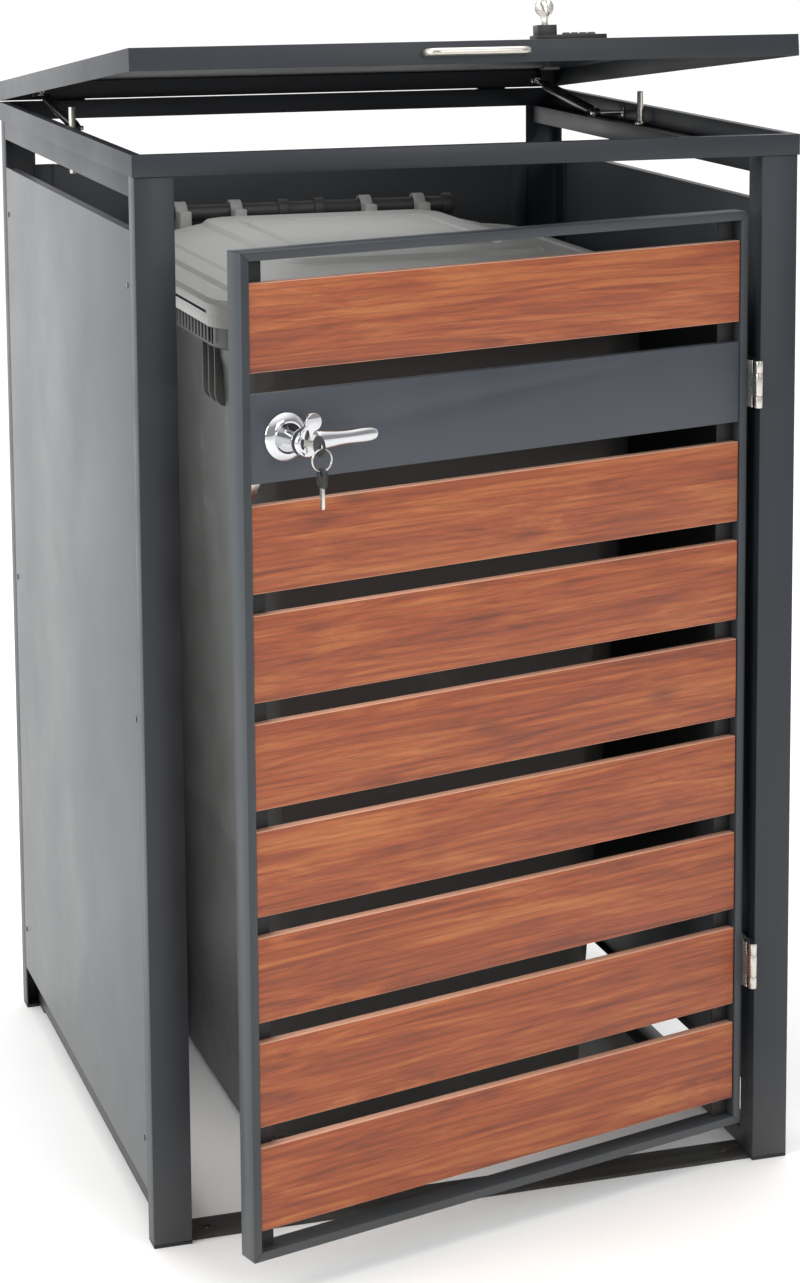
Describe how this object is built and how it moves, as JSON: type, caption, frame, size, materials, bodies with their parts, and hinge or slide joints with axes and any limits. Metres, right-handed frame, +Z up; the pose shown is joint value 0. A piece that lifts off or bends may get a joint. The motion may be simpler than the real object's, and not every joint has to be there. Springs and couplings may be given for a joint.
{
  "type": "wheelie bin housing",
  "caption": "Slatted steel housing for a two-wheeled refuse bin, with hinged door, lifting lid on stays, and the bin standing inside.",
  "frame": {"origin": "on the ground at the centre of the four anchor holes and of the footprint", "axes": "+Z up; the door faces -Y; +X is towards the door's hinges"},
  "size_m": [0.78, 1.0587, 1.3945],
  "materials": {
    "dark_paint": "fine-textured anthracite powder coat",
    "panel_paint": "fine-textured anthracite powder coat on sheet",
    "frame_paint": "smooth anthracite powder coat",
    "wood_board": "satin wood-look laminate",
    "nickel": "satin nickel plate",
    "chrome": "polished",
    "satin_steel": "brushed stainless",
    "lock_face": "blue anodised, satin",
    "black_metal": "black gloss enamel",
    "black_plastic": "moulded",
    "tread": "matt",
    "bin_dark": "moulded, fine grain",
    "bin_light": "moulded, fine grain"
  },
  "bodies": {
    "root": {"post_front_left": "dark_paint", "post_front_right": "dark_paint", "post_rear_left": "dark_paint", "post_rear_right": "dark_paint", "post_pads": "black_plastic", "panel_left": "panel_paint", "panel_right": "panel_paint", "panel_back": "panel_paint", "panel_rivets": "frame_paint", "side_rails": "dark_paint", "base_bars": "dark_paint", "floor_strips": "black_metal", "top_ring": "dark_paint", "lid_guide_pins": "nickel", "door_hinge_fixed": "nickel", "lid_hinge_fixed": "black_metal", "stay_ring_pins": "nickel", "bin_body": "bin_dark", "bin_handle": "bin_dark", "bin_axle": "nickel"},
    "door": {"door_frame": "frame_paint", "door_straps": "frame_paint", "board_1": "wood_board", "board_2": "wood_board", "board_3": "wood_board", "board_4": "wood_board", "board_5": "wood_board", "board_6": "wood_board", "board_7": "wood_board", "board_9": "wood_board", "lock_board_tray": "frame_paint", "board_screws": "nickel", "door_hinge_moving": "nickel", "handle_rosette": "chrome"},
    "door_handle": {"door_handle": "chrome", "door_cam": "nickel"},
    "door_lock_cover": {"door_lock_cover": "chrome"},
    "door_key": {"door_lock_cylinder": "lock_face", "door_key": "black_plastic"},
    "door_key_ring": {"door_key_ring": "nickel", "door_spare_key": "black_plastic"},
    "lid": {"lid_tray": "dark_paint", "lid_handle": "satin_steel", "lid_hinge_moving": "black_metal", "lid_stay_brackets": "black_metal", "lid_lock_base": "black_plastic"},
    "lid_lock_knob": {"lid_lock_knob": "black_metal"},
    "lid_lock_key": {"lid_lock_key": "nickel"},
    "dial_1": {"dial_1": "black_plastic"},
    "dial_2": {"dial_2": "black_plastic"},
    "dial_3": {"dial_3": "black_plastic"},
    "dial_4": {"dial_4": "black_plastic"},
    "stay_tube_left": {"stay_tube_left": "black_metal"},
    "stay_tube_right": {"stay_tube_right": "black_metal"},
    "stay_rod_left": {"stay_rod_left": "nickel"},
    "stay_rod_right": {"stay_rod_right": "nickel"},
    "bin_lid": {"bin_lid": "bin_light", "bin_lid_arms": "bin_light"},
    "bin_wheel_left": {"bin_wheel_left": "tread"},
    "bin_wheel_right": {"bin_wheel_right": "tread"}
  },
  "joints": [
    {"name": "door_hinge", "type": "hinge", "parent": "root", "child": "door", "pos_m": [0.3395, -0.4135, 0.6], "axis": [0, 0, 1], "range_deg": [-15.4, 95]},
    {"name": "door_handle_turn", "type": "hinge", "parent": "door", "child": "door_handle", "pos_m": [-0.2569, -0.58867, 0.9492], "axis": [-0.2656, 0.9641, 0], "range_deg": [0, 90]},
    {"name": "door_lock_cover_swing", "type": "hinge", "parent": "door_handle", "child": "door_lock_cover", "pos_m": [-0.2567, -0.60935, 0.9605], "axis": [0.2656, -0.9641, 0], "range_deg": [-45, 100]},
    {"name": "door_key_turn", "type": "hinge", "parent": "door_handle", "child": "door_key", "pos_m": [-0.2569, -0.58867, 0.9492], "axis": [-0.2656, 0.9641, 0], "range_deg": [0, 90]},
    {"name": "door_key_ring_swing", "type": "hinge", "parent": "door_key", "child": "door_key_ring", "pos_m": [-0.24495, -0.63205, 0.9492], "axis": [0.9641, 0.2656, 0], "range_deg": [-30, 30]},
    {"name": "lid_hinge", "type": "hinge", "parent": "root", "child": "lid", "pos_m": [0, 0.414, 1.23525], "axis": [-1, 0, 0], "range_deg": [-6.2, 60]},
    {"name": "lid_knob_turn", "type": "hinge", "parent": "lid", "child": "lid_lock_knob", "pos_m": [0.088, -0.38456, 1.3474], "axis": [0, -0.108, -0.9942], "range_deg": [0, 90]},
    {"name": "lid_key_turn", "type": "hinge", "parent": "lid_lock_knob", "child": "lid_lock_key", "pos_m": [0.088, -0.38456, 1.3474], "axis": [0, -0.108, -0.9942], "range_deg": [0, 90]},
    {"name": "dial_1_turn", "type": "hinge", "parent": "lid", "child": "dial_1", "pos_m": [0.113, -0.38456, 1.3474], "axis": [1, 0, 0], "continuous": true},
    {"name": "dial_2_turn", "type": "hinge", "parent": "lid", "child": "dial_2", "pos_m": [0.123, -0.38456, 1.3474], "axis": [1, 0, 0], "continuous": true},
    {"name": "dial_3_turn", "type": "hinge", "parent": "lid", "child": "dial_3", "pos_m": [0.133, -0.38456, 1.3474], "axis": [1, 0, 0], "continuous": true},
    {"name": "dial_4_turn", "type": "hinge", "parent": "lid", "child": "dial_4", "pos_m": [0.143, -0.38456, 1.3474], "axis": [1, 0, 0], "continuous": true},
    {"name": "stay_left_swivel", "type": "hinge", "parent": "root", "child": "stay_tube_left", "pos_m": [-0.343, 0.125, 1.221], "axis": [1, 0, 0], "range_deg": [-0.72, 5.2]},
    {"name": "stay_left_slide", "type": "slide", "parent": "stay_tube_left", "child": "stay_rod_left", "axis": [0, 0.9929, 0.1186], "range_m": [-0.00431, 0.03909]},
    {"name": "stay_right_swivel", "type": "hinge", "parent": "root", "child": "stay_tube_right", "pos_m": [0.343, 0.125, 1.221], "axis": [1, 0, 0], "range_deg": [-0.72, 5.2]},
    {"name": "stay_right_slide", "type": "slide", "parent": "stay_tube_right", "child": "stay_rod_right", "axis": [0, 0.9929, 0.1186], "range_m": [-0.00431, 0.03909]},
    {"name": "bin_lid_hinge", "type": "hinge", "parent": "root", "child": "bin_lid", "pos_m": [0, 0.345, 1.085], "axis": [-1, 0, 0], "range_deg": [0, 12]},
    {"name": "bin_wheel_left_spin", "type": "hinge", "parent": "root", "child": "bin_wheel_left", "pos_m": [-0.24, 0.259, 0.1], "axis": [1, 0, 0], "continuous": true},
    {"name": "bin_wheel_right_spin", "type": "hinge", "parent": "root", "child": "bin_wheel_right", "pos_m": [0.24, 0.259, 0.1], "axis": [1, 0, 0], "continuous": true}
  ],
  "couplings": [
    {"joint": "stay_left_swivel", "follows": "lid_hinge", "ratio": 0.08334},
    {"joint": "stay_left_slide", "follows": "lid_hinge", "m_per_rad": 0.037037},
    {"joint": "stay_right_swivel", "follows": "lid_hinge", "ratio": 0.08334},
    {"joint": "stay_right_slide", "follows": "lid_hinge", "m_per_rad": 0.037037}
  ]
}
